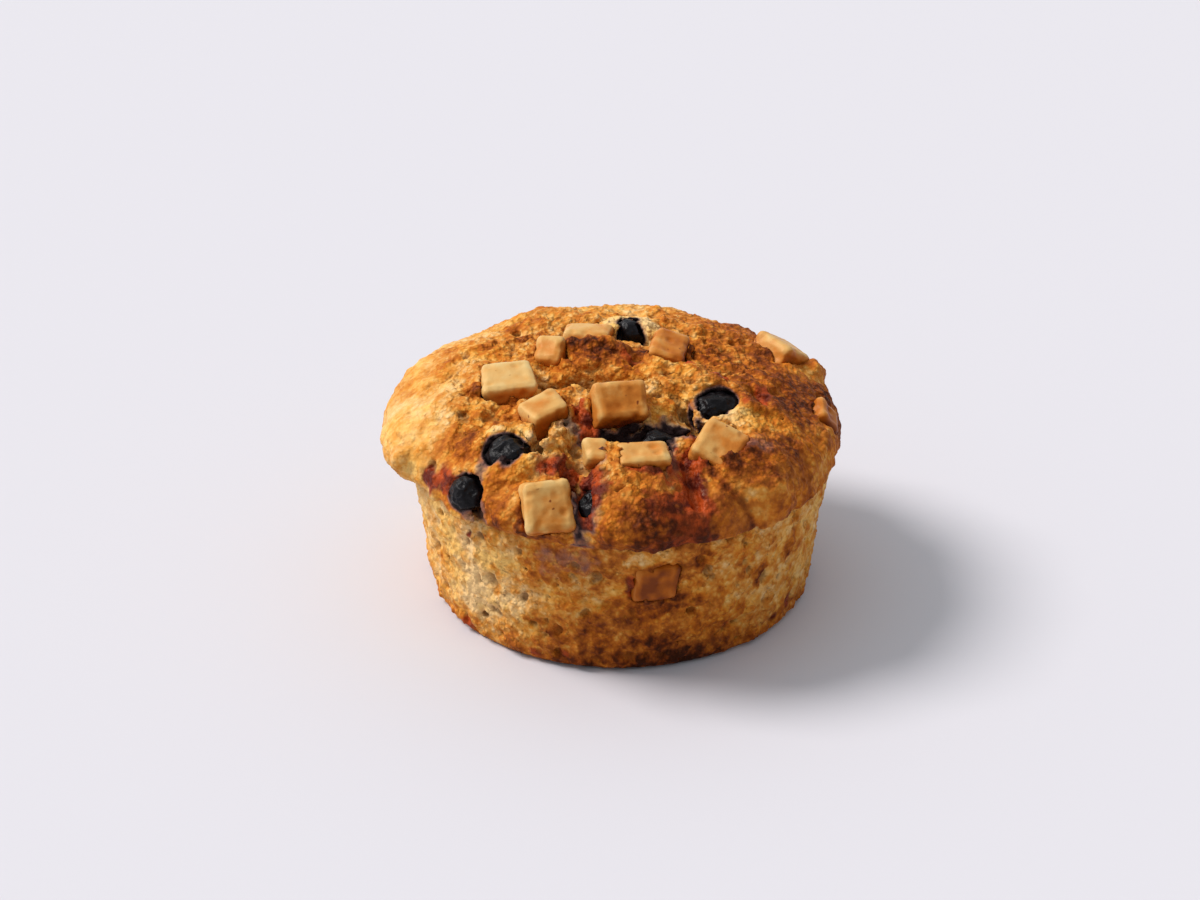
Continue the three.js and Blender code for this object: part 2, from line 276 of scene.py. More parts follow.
def normals_of(vertices, faces):
    """Unit normals of the vertices of a mesh of four-sided faces."""
    corners = vertices[faces]
    across = np.cross(corners[:, 2] - corners[:, 0], corners[:, 3] - corners[:, 1])
    normals = np.zeros_like(vertices)
    for corner in faces.T:
        np.add.at(normals, corner, across)
    return normals / np.maximum(np.linalg.norm(normals, axis=1, keepdims=True), TINY)


def made_piece(name, vertices, faces, material, attributes):
    """A smooth-shaded object from vertices in millimetres, with a value of each kind at each."""
    mesh = bpy.data.meshes.new(name)
    mesh.from_pydata((vertices * MM).tolist(), [], faces.tolist())
    mesh.shade_smooth()
    mesh.materials.append(material)
    for kind, values in attributes.items():
        attribute = mesh.attributes.new(kind, "FLOAT", "POINT")
        attribute.data.foreach_set("value", values.astype(np.float32))
    piece = bpy.data.objects.new(name, mesh)
    bpy.context.scene.collection.objects.link(piece)
    return piece


# What lies this near to the floor lies flat on it.
FLAT_WITHIN = 0.02


def flatten_base(mesh):
    """Joins the faces that lie flat on the floor into one."""
    work = bmesh.new()
    work.from_mesh(mesh)
    on_floor = [f for f in work.faces if all(v.co.z < FLAT_WITHIN * MM for v in f.verts)]
    bmesh.ops.dissolve_faces(work, faces=on_floor, use_verts=True)
    work.to_mesh(mesh)
    work.free()


def stand_for(piece, node):
    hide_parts(node)
    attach(piece, "root")


# The crumb's zones

TORN_MIDDLE = np.array([-3, -4])
TORN_RADIUS = 29
TORN_FADE = 6
TORN_WANDER = [(5, 9, 4), (2.5, 4, 6)]
LIP_FADE = 0.5
LIP_WAVER = [(0.35, 3.0, 9)]


def plan_distance(points, start, end=None):
    """The distance in plan to a place, or to the stretch between two."""
    start = np.array(start, float)
    along = np.array(end, float) - start if end else np.zeros(2)
    offset = points[:, :2] - start
    share = np.clip(offset @ along / max(along @ along, TINY), 0, 1)
    return np.linalg.norm(offset - share[:, None] * along, axis=1)


def wall_place(points):
    """How far each point lies along the wall from the front's middle, and how high."""
    angle = np.arctan2(points[:, 0], -points[:, 1])
    return np.stack([angle * MEAN_WALL_RADIUS, points[:, 2]], axis=1)


def zones(points):
    """The shares of wall, of smooth crust and of torn crumb at each point."""
    height = points[:, 2] + wavy(points, LIP_WAVER)
    cap = smoothstep(height, WALL_HEIGHT - LIP_FADE, WALL_HEIGHT + LIP_FADE)
    from_middle = plan_distance(points, TORN_MIDDLE) + wavy(points, TORN_WANDER)
    torn = cap * (1 - smoothstep(from_middle, TORN_RADIUS - TORN_FADE, TORN_RADIUS + TORN_FADE))
    return 1 - cap, cap - torn, torn


# The crumb's form

# Lumps, grains and cracks are given by their size and seed.
CLUMPS = (4.6, 1)
SMALL_CLUMPS = (2.7, 2)
PEBBLES = (2.1, 3)
PEBBLE_MEAN = 0.45
CRACKS = (4.2, 19)
CRACK_WIDTHS = (0.02, 0.20)
CRACK_DEPTH = 0.8

# How high the clumps, the small clumps and the pebbles of each zone stand.
WALL_RELIEF = (0.14, 0.18, 0.70)
CRUST_RELIEF = (0.30, 0.24, 0.90)
TORN_RELIEF = (0.75, 0.55, 1.40)

# The wall is rougher near the base's edge, by this share, which fades between these heights.
EDGE_ROUGHER = 0.5
ROUGH_EDGE = (2, 6)

# The relief grows between these heights, from none at the flat base.
BASE_FADE = (0.2, 1.6)

# How rough the smoothest and the grainiest crust is.
CRUST_ROUGHNESS = (0.5, 0.8)

# Crust that stayed smooth: up to here from the left, and round a stretch before the flap.
SMOOTH_LEFT = (-35, -22)
SMOOTH_LEFT_WANDER = [(4, 9, 17)]
SMOOTH_PATCH = ((16.5, -34.0), (24.0, -32.0))
SMOOTH_PATCH_EDGE = (3, 5.5)

# Hollows of the cap: where each starts and ends, its radius, and how deep its middle lies.
HOLLOWS = [
    ((-2.5, -20.6), (11.5, -18.4), 2.8, 2.5),  # the dark crevice
    ((9.0, -19.5), (14.0, -15.5), 1.7, 0.8),
    ((-6.2, -33.4), (-6.2, -35.0), 1.5, 0.7),  # right of the front chunk
    ((-25.4, -25.2), (-24.6, -30.0), 1.0, 0.5),  # between the lowest berry and the small lobe
    ((-9.5, -29.0), (-6.5, -32.0), 1.3, 0.4),
    ((10.6, -25.0), (12.9, -34.0), 1.0, 0.2),  # the juicy streak
    ((-15.0, -2.6), (-11.0, -3.2), 1.5, 0.8),  # below the chunk left of the ridge
    ((-9.0, -2.4), (4.0, -4.4), 1.5, 0.6),  # below the ridge
    ((-24.0, -7.8), (-19.0, -9.4), 1.2, 0.4),  # below the pale chunk
    ((-15.6, -24.6), (-13.6, -19.8), 1.5, 0.7),  # right of the large berry
    ((9.2, -9.0), (12.2, -13.0), 1.1, 0.3),
    ((0.6, 12.4), (3.2, 12.6), 1.9, 0.5),  # before the rear berry
    ((18.0, -19.0), (21.0, -20.0), 0.9, 0.6),  # pit at the right chunk
]
HOLLOW_EDGE = 0.8
HOLLOW_UNEVENNESS = [(0.25, 2.4, 10)]

# Craters of crumb round berries: the berry, the ring's radius and its thickness.
CRATERS = [
    ("berry_1", 5.8, 1.1),
    ("berry_2", 4.7, 0.9),
    ("berry_3", 5.4, 0.9),
    ("berry_5", 4.3, 1.0),
    ("berry_6", 4.1, 1.0),
]
CRATER_UNEVENNESS = [(0.35, 2.2, 8)]
CRATER_FILLET = 1.2

# A flap of crust at the front right, which overlaps the crust before it along a round edge.
FLAP_MIDDLE = np.array([23.0, -22.5])
FLAP_RADIUS = 8.7
FLAP_RISE = 1.0
FLAP_SLOPE = 5.5
FLAP_EDGE = 0.35
FLAP_WAVER = [(0.5, 2.4, 7)]
FLAP_FACING = np.array([-0.45, -0.89])
FLAP_TURN = (0.0, 0.4)

# Swellings at the cap's edge and on the small lobe: the middle and the radius of each.
KNOBS = [
    ((-38.4, -14.0, 31.6), 2.5),  # a drip at the left
    ((-37.6, -9.5, 30.6), 2.6),
    ((-32.0, -21.4, 28.9), 1.6),  # the yellow blob at the lip
    ((-20.3, -33.6, 30.2), 1.2),
    ((-17.4, -35.2, 29.8), 1.1),
    ((-22.0, -31.0, 32.2), 1.2),
    ((-10.8, -24.4, 37.2), 2.2),
    ((34.8, 13.2, 34.4), 2.6),  # beside the chunk at the right
    ((-8.6, 6.0, 43.6), 1.9),  # the ridge, before the chunk behind it
    ((-5.4, 6.0, 43.9), 1.8),
    ((-2.4, 6.2, 43.9), 1.8),
]
KNOB_UNEVENNESS = [(0.2, 1.6, 18)]
KNOB_FILLET = 0.8

# How far up the sides of a topping the crumb climbs.
TOPPING_CLIMB = 1.1
CLIMB_LUMPS = (2.6, 23)
CLIMB_MEAN = 0.25

# The groove under the cap's edge: how far its middle lies out of the wall and below the cap.
GROOVE_RADIUS = 0.95
GROOVE_OUT = 0.45
GROOVE_DROP = 0.5
GROOVE_EDGE = 0.4

# Bubbles of each zone: how many of those drawn stay, of this number in all.
BUBBLES = 3000
BUBBLES_KEPT = {"wall": 0.75, "crust": 0.12, "torn": 0.9}
BUBBLE_RADII = (0.35, 1.15)
BUBBLE_STRETCH = (0.7, 1.35)
BUBBLE_EDGE = 0.3
BUBBLE_SEED = 5

# The larger this power, the fewer bubbles are large.
BUBBLE_RARITY = 3

# No bubble comes nearer to a topping, so that none opens its pocket.
BUBBLE_CLEARANCE = 0.5


def crumb_relief(points):
    """How far the crumb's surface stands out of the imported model's."""
    wall, crust, torn = zones(points)
    forms = [lumps(points, *CLUMPS), lumps(points, *SMALL_CLUMPS)]
    pebbles = grains(points, *PEBBLES) - PEBBLE_MEAN
    cracks = 1 - smoothstep(np.abs(lumps(points, *CRACKS)), *CRACK_WIDTHS)
    torn_relief = weighed(TORN_RELIEF, forms + [pebbles]) - CRACK_DEPTH * cracks
    crust_relief = weighed(CRUST_RELIEF, forms + [roughness(points) * pebbles])
    rougher = 1 + EDGE_ROUGHER * (1 - smoothstep(points[:, 2], *ROUGH_EDGE))
    wall_relief = rougher * weighed(WALL_RELIEF, forms + [pebbles])
    relief = torn * torn_relief + crust * crust_relief + wall * wall_relief
    return (relief + flap_relief(points)) * smoothstep(points[:, 2], *BASE_FADE)


def weighed(weights, forms):
    return sum(weight * form for weight, form in zip(weights, forms))


def roughness(points):
    """How rough the crust is: smooth on the left and before the flap, grainy elsewhere."""
    to_right = smoothstep(points[:, 0] + wavy(points, SMOOTH_LEFT_WANDER), *SMOOTH_LEFT)
    in_patch = 1 - smoothstep(plan_distance(points, *SMOOTH_PATCH), *SMOOTH_PATCH_EDGE)
    return mix(*CRUST_ROUGHNESS, to_right * (1 - in_patch))


def flap_relief(points):
    """How far the flap's edge stands above the crust before it."""
    offset = points[:, :2] - FLAP_MIDDLE
    distance = np.linalg.norm(offset, axis=1) + wavy(points, FLAP_WAVER)
    facing = smoothstep(offset @ FLAP_FACING / np.maximum(distance, 1), *FLAP_TURN)
    inside = 1 - smoothstep(distance, FLAP_RADIUS - FLAP_EDGE, FLAP_RADIUS)
    risen = smoothstep(distance, FLAP_RADIUS - FLAP_SLOPE, FLAP_RADIUS)
    return FLAP_RISE * facing * inside * risen * (points[:, 2] > WALL_HEIGHT)


def shaped(points, plain, clear):
    """The crumb's distance at some points, from the plain form's and the room round toppings."""
    climb = np.maximum(lumps(points, *CLIMB_LUMPS) + CLIMB_MEAN, 0)
    field = plain - clear * crumb_relief(points) - TOPPING_CLIMB * (1 - clear) * climb
    for name, ring, thickness in CRATERS:
        from_berry = np.linalg.norm(points - node_mesh(name)[0].mean(axis=0), axis=1)
        swell = thickness * (1 + wavy(points, CRATER_UNEVENNESS))
        field = soft_union(field, np.hypot(from_berry - ring, plain) - swell, CRATER_FILLET)
    for middle, radius in KNOBS:
        from_middle = np.linalg.norm(points - np.array(middle), axis=1)
        ragged = radius * (1 + wavy(points, KNOB_UNEVENNESS))
        field = soft_union(field, from_middle - ragged, KNOB_FILLET)
    for start, end, radius, sink in HOLLOWS:
        ragged = radius * (1 + wavy(points, HOLLOW_UNEVENNESS))
        hollow = np.hypot(plan_distance(points, start, end), plain + sink) - ragged
        hollow = np.where(points[:, 2] > WALL_HEIGHT, hollow, CRUMB_REACH)
        field = soft_cut(field, hollow, HOLLOW_EDGE)
    from_axis = np.linalg.norm(points[:, :2], axis=1)
    below_cap = WALL_HEIGHT - points[:, 2]
    from_groove = np.hypot(from_axis - WALL_RADIUS - GROOVE_OUT, below_cap - GROOVE_DROP)
    return soft_cut(field, from_groove - GROOVE_RADIUS, GROOVE_EDGE)


def carve_bubbles(grid, field, toppings):
    """Takes scattered bubbles out of the field's surface, few out of the crust."""
    rng = np.random.default_rng(BUBBLE_SEED)
    near = np.argwhere(np.abs(field) < grid.cell / 2)
    near = near[(near[:, 2] + grid.first[2]) * grid.cell > 2 * BUBBLE_RADII[0]]
    picks = near[rng.choice(len(near), BUBBLES, replace=False)]
    kept = weighed(BUBBLES_KEPT.values(), zones(grid.points(picks.T)))
    radii = mix(*BUBBLE_RADII, rng.random(BUBBLES) ** BUBBLE_RARITY)
    clear = toppings[tuple(picks.T)] > radii + BUBBLE_CLEARANCE
    chosen = (rng.random(BUBBLES) < kept) & clear
    stretches = rng.uniform(*BUBBLE_STRETCH, (BUBBLES, 3))
    for pick, radius, stretch in zip(picks[chosen], radii[chosen], stretches[chosen]):
        carve_bubble(grid, field, pick, radius, stretch)


def carve_bubble(grid, field, pick, radius, stretch):
    """Takes one bubble out of the field, round the cell at pick."""
    reach = math.ceil((radius / BUBBLE_STRETCH[0] + 2 * BUBBLE_EDGE) / grid.cell)
    low = np.maximum(pick - reach, 0)
    high = np.minimum(pick + reach + 1, grid.shape)
    box = tuple(slice(a, b) for a, b in zip(low, high))
    axes = [np.arange(a, b) - p for a, b, p in zip(low, high, pick)]
    x, y, z = (a * s for a, s in zip(np.meshgrid(*axes, indexing="ij"), stretch))
    bubble = np.sqrt(x * x + y * y + z * z) * grid.cell - radius
    field[box] = soft_cut(field[box], bubble.astype(np.float32), BUBBLE_EDGE)


# How far the crumb's box of cells goes past the crumb.
CRUMB_MARGIN = 3

# The pockets are filled up to here before the relief is made, with a fillet this wide.
FILLED_UNDER = 0.4
FILLED_FILLET = 1.0
PLAIN_PASSES = 3

# The crumb's mean surface is its form after so many passes.
MEAN_PASSES = 10

# The relief fades between these distances from a topping.
TOPPING_FADE = (-0.2, 1.2)

# The finest grains, and what the cap's and wall's surfaces get of them.
FINE_GRAINS = (1.15, 13)
FINE_GRAIN_MEAN = 0.4
FINE_GRAIN_HEIGHT = 0.55
FINE_WAVES = [(0.18, 0.8, 14)]
FINE_ON_WALL = 0.9
FINE_BASE_FADE = (0.1, 1.2)


class Crumb:
    """The crumb's distance fields: the plain form, the toppings and the finished form."""

    def __init__(self):
        vertices, triangles = node_mesh("crumb")
        self.grid = box_round(vertices, CRUMB_MARGIN, CRUMB_CELL)
        self.berries = self.topping_distance("berry_")
        self.toppings = np.minimum(self.berries, self.topping_distance("chunk_"))
        packed = self.grid.distance(vertices, triangles, CRUMB_REACH)
        filled = soft_union(packed, self.toppings + FILLED_UNDER, FILLED_FILLET)
        self.plain = blurred(filled, PLAIN_PASSES)
        self.field = self.finished()
        self.mean = blurred(self.field, MEAN_PASSES)

    def topping_distance(self, kind):
        """The distance to the nearest topping of a kind."""
        nearest = np.full(self.grid.shape, CRUMB_REACH, np.float32)
        for name in nodes_of(kind):
            nearest = np.minimum(nearest, self.grid.distance(*node_mesh(name), CRUMB_REACH))
        return nearest

    def finished(self):
        """The plain form with its relief and bubbles, and with the pockets opened again."""
        near = np.nonzero(np.abs(self.plain) < RELIEF_REACH)
        points = self.grid.points(near)
        clear = smoothstep(self.toppings[near], *TOPPING_FADE)
        field = self.plain.copy()
        field[near] = shaped(points, self.plain[near], clear)
        carve_bubbles(self.grid, field, self.toppings)
        return np.maximum(field, POCKET_GAP - self.toppings)

    def surface(self):
        """The finished form's mesh, with its finest grains raised."""
        vertices, faces = largest_part(*self.grid.surface(self.field))
        normals = normals_of(vertices, faces)
        wall, crust, torn = zones(vertices)
        grain = grains(vertices, *FINE_GRAINS) - FINE_GRAIN_MEAN
        fine = FINE_GRAIN_HEIGHT * grain + wavy(vertices, FINE_WAVES)
        amount = torn + roughness(vertices) * crust + FINE_ON_WALL * wall
        amount *= smoothstep(vertices[:, 2], *FINE_BASE_FADE)
        vertices += normals * (amount * fine)[:, None]
        vertices[:, 2] = np.maximum(vertices[:, 2], 0)
        return vertices, faces


# The crumb's paint

# Patches of the cap: where each starts and ends in plan, its radius and its strength.
BROWNED = [
    ((-9.0, 3.5), (4.0, 3.0), 3.2, 0.34),  # the ridge
    ((-31.0, -16.5), (-26.0, -20.5), 3.6, 0.30),
    ((-26.5, -5.5), (-18.5, -8.0), 1.8, 0.40),
    ((-19.5, 21.0), (-16.0, 22.0), 2.6, 0.30),
    ((-16.5, 13.0), (-14.0, 14.0), 2.4, 0.28),
    ((-24.5, 10.0), (-22.5, 9.5), 2.0, 0.26),
    ((-2.0, -39.0), (4.0, -37.0), 6.5, 0.14),  # the front lobe
    ((-7.0, -40.5), (-3.0, -41.0), 3.0, 0.18),
    ((3.8, -39.6), (12.2, -36.6), 3.8, 0.43),  # the dark crust beside it
    ((-35.0, 4.0), (-31.0, 14.0), 5.0, 0.16),
    ((-22.5, -30.5), (-19.0, -31.0), 3.8, 0.24),  # the small lobe
    ((-10.8, -23.8), (-10.0, -21.5), 2.6, 0.14),
    ((18.0, -34.5), (22.5, -33.0), 3.6, 0.04),
    ((-21.5, -34.0), (-18.5, -34.5), 3.4, 0.28),  # the small lobe's rim
    ((4.0, 4.5), (6.5, 3.5), 1.7, 0.35),
    ((33.0, -2.5), (36.0, -1.5), 2.6, 0.15),
    ((20.0, 8.0), (30.0, 2.0), 9.0, 0.20),
    ((20.0, -25.0), (27.0, -20.0), 5.5, 0.12),
    ((20.5, -6.0), (22.5, -10.5), 2.8, 0.28),  # right of the berry there
    ((14.0, -26.5), (18.5, -29.0), 2.4, 0.24),
    ((-30.0, -12.0), (-20.0, -15.0), 5.5, 0.14),
    ((21.0, -4.0), (27.0, -7.0), 5.0, 0.20),
]
PALE = [
    ((7.0, -3.0), (11.0, -7.0), 5.0, 0.08),  # the knob right of the middle
    ((18.5, -14.5), (23.0, -15.0), 3.0, 0.20),
    ((26.0, -15.5), (28.5, -14.0), 3.0, 0.15),
    ((35.0, -19.0), (39.0, -8.0), 4.0, 0.16),
    ((-33.0, -14.0), (-36.0, -2.0), 7.0, 0.12),
    ((-12.0, -20.0), (-9.0, -24.0), 4.5, 0.10),
    ((-19.5, -34.5), (-18.5, -33.5), 1.4, 0.35),
    ((1.7, 16.1), (1.7, 16.1), 5.4, 0.42),  # the crater round the rear berry
    ((-24.5, -20.5), (-22.5, -19.0), 1.8, 0.25),
    ((-8.0, 33.0), (16.0, 32.0), 7.0, 0.18),  # the far side of the cap
    ((31.0, 9.0), (35.0, 12.0), 4.5, 0.24),  # beside the chunk at the right
]
JAM = [
    ((12.2, -25.5), (12.2, -33.5), 2.9, 1.15),  # the juicy streak
    ((8.6, -27.5), (8.6, -32.0), 2.0, 0.60),
    ((14.6, -30.0), (14.8, -36.6), 0.8, 0.60),
    ((6.5, -37.5), (12.5, -35.5), 3.4, 0.42),
    ((-11.8, -28.4), (-9.4, -27.6), 2.9, 0.85),  # above the front chunk
    # Right of the front chunk, the jam is partly stain and partly painted shade in the hollow
    # there.
    ((-5.6, -30.0), (-4.8, -35.0), 2.6, 0.80),  # right of it
    ((12.4, 0.4), (13.0, 0.2), 1.3, 0.80),
    ((16.6, -4.4), (18.6, -5.2), 1.3, 0.85),
    ((25.0, -6.3), (25.6, -8.0), 1.5, 0.85),
    ((22.0, -10.0), (22.0, -12.0), 0.9, 0.55),
    ((-7.4, -14.5), (-5.8, -18.0), 1.7, 0.80),
    ((0.5, 2.5), (3.0, 0.5), 1.0, 0.50),
    ((0.5, -30.9), (6.5, -31.1), 1.0, 0.70),  # before the front chunk of the middle
]
JUICE = [
    ((-24.4, -26.6), (-23.4, -25.6), 1.7, 0.55),  # between the two front berries
    # The crevice's deep juice colour is partly juice and partly painted shade in the crevice.
    ((-3.0, -20.6), (11.5, -18.4), 3.8, 1.3),  # the crevice
    ((-9.0, -17.5), (-5.5, -19.0), 2.2, 0.6),
    ((-15.4, -23.4), (-14.4, -21.2), 1.2, 0.35),
    # Right of the front chunk: partly juice and partly painted shade in the hollow there.
    ((-6.4, -31.5), (-6.2, -36.0), 2.6, 0.9),
    ((-3.8, -27.6), (-3.4, -28.4), 1.1, 0.5),
    ((22.0, -22.0), (25.0, -22.0), 2.0, 0.25),
    ((8.4, -25.0), (8.2, -29.5), 1.7, 0.55),
]

# Patches of the cap's edge, placed along it and up it as those of the wall are.
EDGE_BROWNED = [
    ((-37.0, 29.4), (-32.0, 29.0), 1.8, 0.20),
    ((-20.2, 29.4), (-17.0, 29.2), 2.0, 0.40),
    ((-17.0, 29.2), (-10.0, 28.4), 1.8, 0.30),
]
EDGE_PALE = [
    ((-36.8, 28.8), (-35.8, 28.6), 1.5, 0.40),  # the yellow blob
]
EDGE_JAM = [
    ((-37.8, 31.0), (-36.0, 30.9), 2.1, 0.95),
    ((-35.0, 33.0), (-32.6, 32.6), 1.9, 0.90),
    ((-29.4, 32.0), (-29.2, 31.8), 0.8, 0.4),
]
EDGE_JUICE = [
    ((-27.2, 28.8), (-25.0, 28.2), 1.2, 0.50),  # under the lip by the lowest berry
    ((-24.4, 31.7), (-23.9, 28.6), 0.9, 0.45),  # along the small lobe's left
]

# Patches of the wall, placed along it and up it in the same way.
WALL_BROWNED = [
    ((-6.0, 9.5), (-5.0, 7.5), 3.6, 0.24),
    ((3.0, 7.0), (8.0, 6.0), 3.2, 0.24),
    ((2.0, 15.5), (12.0, 14.5), 2.6, 0.26),  # below the chunk
    ((11.5, 20.0), (14.0, 23.0), 3.0, 0.16),
    ((-23.6, 13.0), (-23.4, 18.0), 1.2, 0.30),
    ((-1.0, 13.0), (4.0, 11.5), 3.0, 0.22),
    ((34.0, 18.0), (34.8, 20.0), 1.8, 0.36),
    ((26.5, 14.5), (27.0, 16.5), 1.8, 0.32),
    ((18.0, 8.0), (23.0, 10.0), 3.0, 0.20),
    ((-16.0, 10.0), (-13.0, 8.0), 2.4, 0.16),
    ((-45.0, 8.0), (-42.0, 14.0), 2.8, 0.20),
    ((-64.0, 7.0), (-42.0, 10.0), 11.0, 0.19),  # the golden left
    ((-38.0, 19.0), (-36.0, 21.0), 2.0, 0.16),
]
WALL_PALE = [
    ((1.5, 24.6), (8.0, 25.2), 1.6, 0.34),  # the band above the chunk
    ((-31.0, 9.0), (-24.0, 17.0), 4.0, 0.14),
    ((-18.0, 13.0), (-10.0, 17.0), 3.0, 0.10),
]
WALL_JAM = [
    ((-28.4, 23.3), (-28.2, 23.4), 0.8, 0.9),
    ((-33.0, 2.2), (-32.2, 2.0), 1.2, 0.8),
    ((-16.6, 2.0), (-15.8, 2.0), 1.1, 0.7),
    ((-11.0, 3.0), (-10.2, 3.0), 1.0, 0.6),
    ((37.4, 4.8), (38.0, 4.2), 1.3, 0.8),
    ((33.0, 3.2), (33.6, 3.0), 1.1, 0.7),
    ((20.0, 6.8), (20.2, 6.6), 0.9, 0.9),
    # The dark line beside the chunk is painted shade along the sunk chunk's left edge, in jam's
    # dark red.
    ((1.6, 20.4), (1.6, 17.0), 0.9, 0.7),  # the dark line beside the chunk
]
WALL_JUICE = [
    ((-11.5, 24.2), (-6.5, 23.4), 2.6, 0.32),
    ((-13.0, 21.0), (-11.0, 20.0), 1.4, 0.20),
]


# A patch fades between these shares of its radius, with a ragged edge.
PATCH_FADE = (0.35, 1.4)
PATCH_RAGGEDNESS = [(0.40, 2.3, 41), (0.30, 1.1, 42)]

# The patches of the cap's edge come in between these distances from the axis.
CAP_EDGE = (28, 33)


def patches(places, points, spots):
    """How strongly each place lies in any of some patches with ragged edges."""
    ragged = wavy(points, PATCH_RAGGEDNESS)
    total = np.zeros(len(places))
    for start, end, radius, strength in spots:
        share = plan_distance(places, start, end) / radius + ragged
        total = np.maximum(total, strength * (1 - smoothstep(share, *PATCH_FADE)))
    return total


def cap_and_wall(points, on_cap, on_edge, on_wall):
    """Patches of the cap and its edge, and of the wall below them."""
    wall = zones(points)[0]
    at_edge = smoothstep(np.linalg.norm(points[:, :2], axis=1), *CAP_EDGE)
    edge_share = at_edge * patches(wall_place(points), points, on_edge)
    cap_share = np.maximum(patches(points[:, :2], points, on_cap), edge_share)
    wall_share = patches(wall_place(points), points, on_wall)
    return mix(cap_share, wall_share, wall)


# Noise of the paint, by size and seed.
BROAD_PATCHES = (8.0, 31)
SPOTS = (3.2, 32)
FLECKS = (1.3, 33)

# How browned the crust and the torn crumb are, and what the right, the broad patches, the spots
# and the flecks add. The right's share is partly painted shade, on the side turned from the key.
CRUST_BROWNING_AND_SHADE = (0.36, 0.24, 0.08, 0.14, 0.09)
TORN_BROWNING_AND_SHADE = (0.27, 0.09, 0.06, 0.18, 0.11)

# The same for the wall, first at its left and at the front's middle, and then what is added. The
# front middle's darker level is partly browning and partly painted shade, on the side turned from
# the key light.
WALL_BROWNING_AND_SHADE = (-0.10, 0.38)
WALL_BROAD = 0.10
WALL_SPOTS = 0.14
WALL_FLECKS = 0.20

# What the base's edge adds at the wall's left and at the front's middle, up to which height; the
# front middle's extra is partly painted shade.
EDGE_BROWNING_AND_SHADE = (0.20, 0.38)
BROWN_EDGE = (0.5, 9)
BROWN_EDGE_WAVER = 2
# Painted shade under the cap's edge: how much darker the wall's front middle is between these
# heights.
UNDER_LIP_SHADE = 0.04
UNDER_LIP = (19, 26)

# Places along the wall where its left ends, and where its middle starts to fade on the right.
LEFT_END = (-40, 0)
RIGHT_START = (12, 28)
RIGHT_FADE = 0.5

# How much browner what stands out of wall, crust and torn crumb is, and how far out is most.
RAISED_BROWNING = (0.15, 0.12, 0.08)
FULLY_RAISED = 0.5

# Round a berry: how far its juice goes, and where the pale rim starts and ends.
BERRY_JUICE = (0.1, 1.2)
RIM_START = (0.8, 1.6)
RIM_END = (2.0, 3.2)
RIM_PALENESS = 0.17
RIM_WAVER = 0.4

# Where the crumb's hollows get painted shade: by how little they stand out, and by how deep they
# lie.
PITTED = (0.2, 0.9)
SUNK = (1.4, 3.2)
SUNK_PIT = 0.8

# How rough the wall's colour is, at its left and from the front's middle on.
WALL_ROUGHNESS = (0.5, 0.85)
SMOOTH_WALL_END = (-45, -18)

# A painted highlight along the flap's edge and a painted shade line on the crust before it: how
# far out of the edge each lies, its width and its strength.
FLAP_PAINTED_HIGHLIGHT = (-0.5, 0.55, 0.34)
FLAP_PAINTED_SHADE = (0.9, 0.7, 0.20)
FLAP_LINE_TURN = (0.1, 0.5)


def crumb_paint(crumb, vertices):
    """How browned (with painted light and shade), jammy, juicy, shaded in its hollows and rough the
    crumb is at each vertex.
    """
    wall, crust, torn = zones(vertices)
    stands_out = np.clip(crumb.grid.sample(crumb.mean, vertices) / FULLY_RAISED, -1, 1)
    sunk = -crumb.grid.sample(crumb.plain, vertices)
    from_berry = crumb.grid.sample(crumb.berries, vertices) - RIM_WAVER * lumps(vertices, *SPOTS)
    by_berry = 1 - smoothstep(from_berry, *BERRY_JUICE)
    return {
        "browned_and_shaded": browning_and_shade(vertices, stands_out, from_berry),
        "jam": cap_and_wall(vertices, JAM, EDGE_JAM, WALL_JAM),
        "juice": np.maximum(cap_and_wall(vertices, JUICE, EDGE_JUICE, WALL_JUICE), by_berry),
        "hollow_shade": np.maximum(smoothstep(-stands_out, *PITTED), SUNK_PIT * smoothstep(sunk, *SUNK)),
        "rough": torn + wall * wall_roughness(vertices) + roughness(vertices) * crust,
    }


def browning_and_shade(vertices, stands_out, from_berry):
    """How browned the crumb is: most on the right, partly as painted shade, on the crust and where
    it stands out, with the wall's and the flap's painted light and shade.
    """
    wall, crust, torn = shares = zones(vertices)
    broad, spots, flecks = (lumps(vertices, *n) for n in (BROAD_PATCHES, SPOTS, FLECKS))
    forms = [1, vertices[:, 0] / CAP_RADIUS, broad, spots, flecks]
    browned_and_shaded = crust * weighed(CRUST_BROWNING_AND_SHADE, forms) + torn * weighed(TORN_BROWNING_AND_SHADE, forms)
    browned_and_shaded += wall * (wall_level(vertices, broad, spots) + WALL_FLECKS * flecks)
    browned_and_shaded += weighed(RAISED_BROWNING, shares) * stands_out
    browned_and_shaded += cap_and_wall(vertices, BROWNED, EDGE_BROWNED, WALL_BROWNED)
    browned_and_shaded -= cap_and_wall(vertices, PALE, EDGE_PALE, WALL_PALE)
    rims = smoothstep(from_berry, *RIM_START) * (1 - smoothstep(from_berry, *RIM_END))
    return browned_and_shaded - RIM_PALENESS * rims * (1 - wall) - flap_highlight_and_shade(vertices)


def wall_level(vertices, broad, spots):
    """How browned the wall is: least at the lit left, darker at the front's middle partly as
    painted shade, darker under the cap's edge as painted shade, and most at the base's edge.
    """
    near_base = 1 - smoothstep(vertices[:, 2] + BROWN_EDGE_WAVER * spots, *BROWN_EDGE)
    under_lip = smoothstep(vertices[:, 2], *UNDER_LIP)
    along = wall_place(vertices)[:, 0]
    centre = smoothstep(along, *LEFT_END) * (1 - RIGHT_FADE * smoothstep(along, *RIGHT_START))
    level = mix(*WALL_BROWNING_AND_SHADE, centre) + WALL_BROAD * broad + WALL_SPOTS * spots
    return level + mix(*EDGE_BROWNING_AND_SHADE, centre) * near_base + UNDER_LIP_SHADE * under_lip * centre


